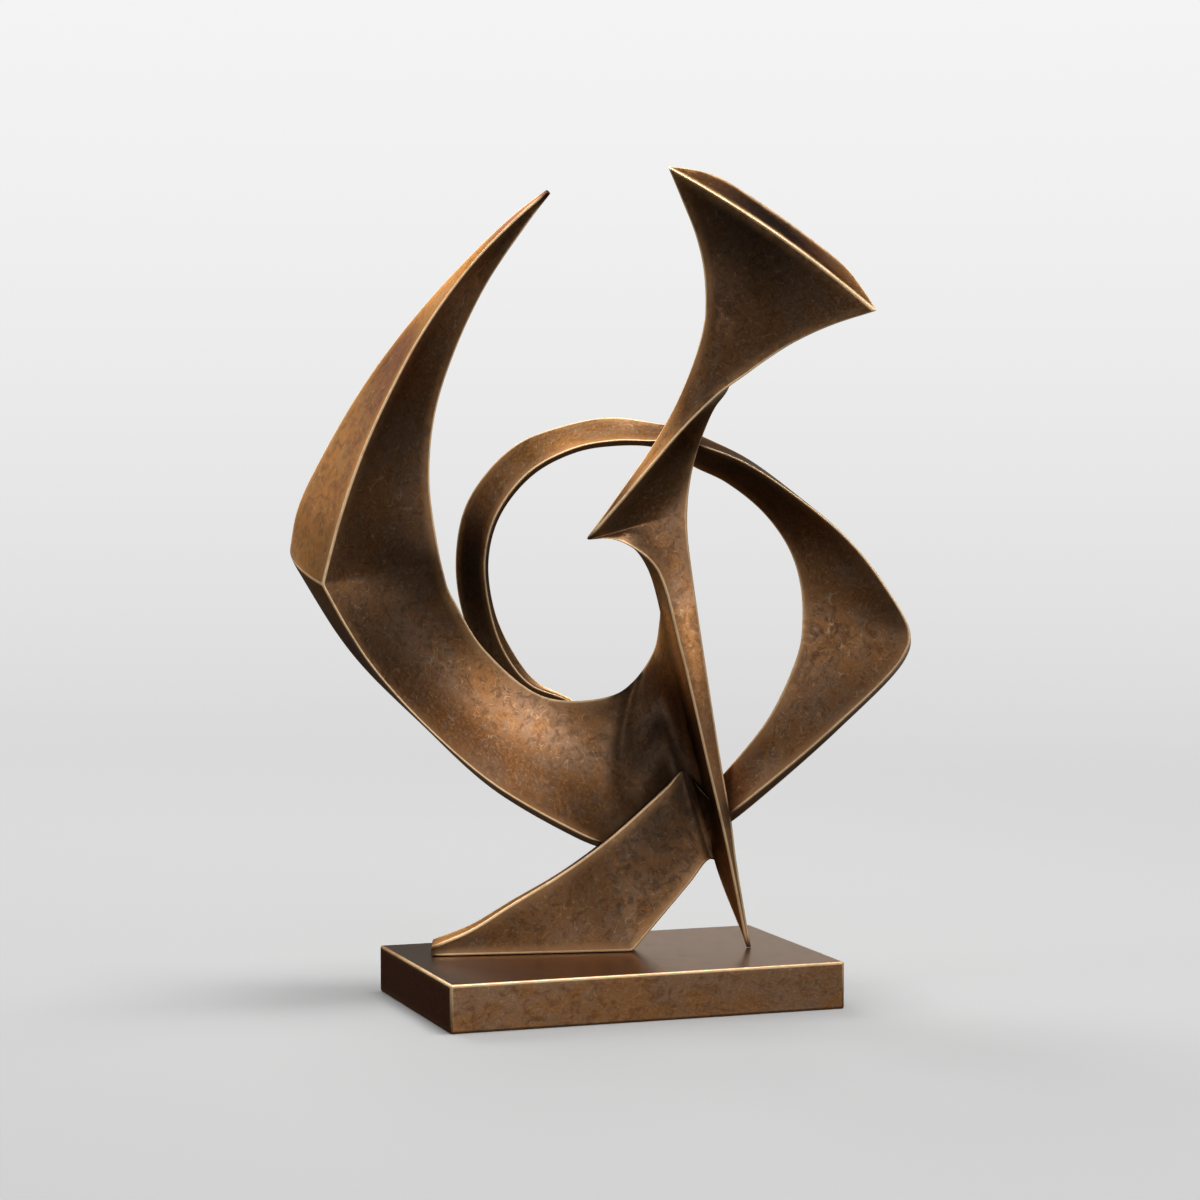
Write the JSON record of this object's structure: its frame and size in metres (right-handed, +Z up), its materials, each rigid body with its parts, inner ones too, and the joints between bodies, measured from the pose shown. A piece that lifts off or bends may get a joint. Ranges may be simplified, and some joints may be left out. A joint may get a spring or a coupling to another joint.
{
  "type": "abstract metal sculpture",
  "caption": "Abstract bronze table sculpture of sweeping sharp-edged blades and an open ring, standing on a rectangular bronze plinth.",
  "frame": {"origin": "centre of the plinth's underside", "axes": "+X along the plinth's long front edge to the right, +Y towards the back, +Z up"},
  "size_m": [0.3176, 0.1534, 0.4435],
  "materials": {
    "bronze": "brown patinated cast bronze, mottled, finely scratched, with bright worn edges",
    "plinth_bronze": "brown patinated bronze, polished flatter and glossier than the casting, with bright worn edges"
  },
  "bodies": {
    "root": {"sculpture": "bronze", "plinth": "plinth_bronze"}
  },
  "joints": []
}
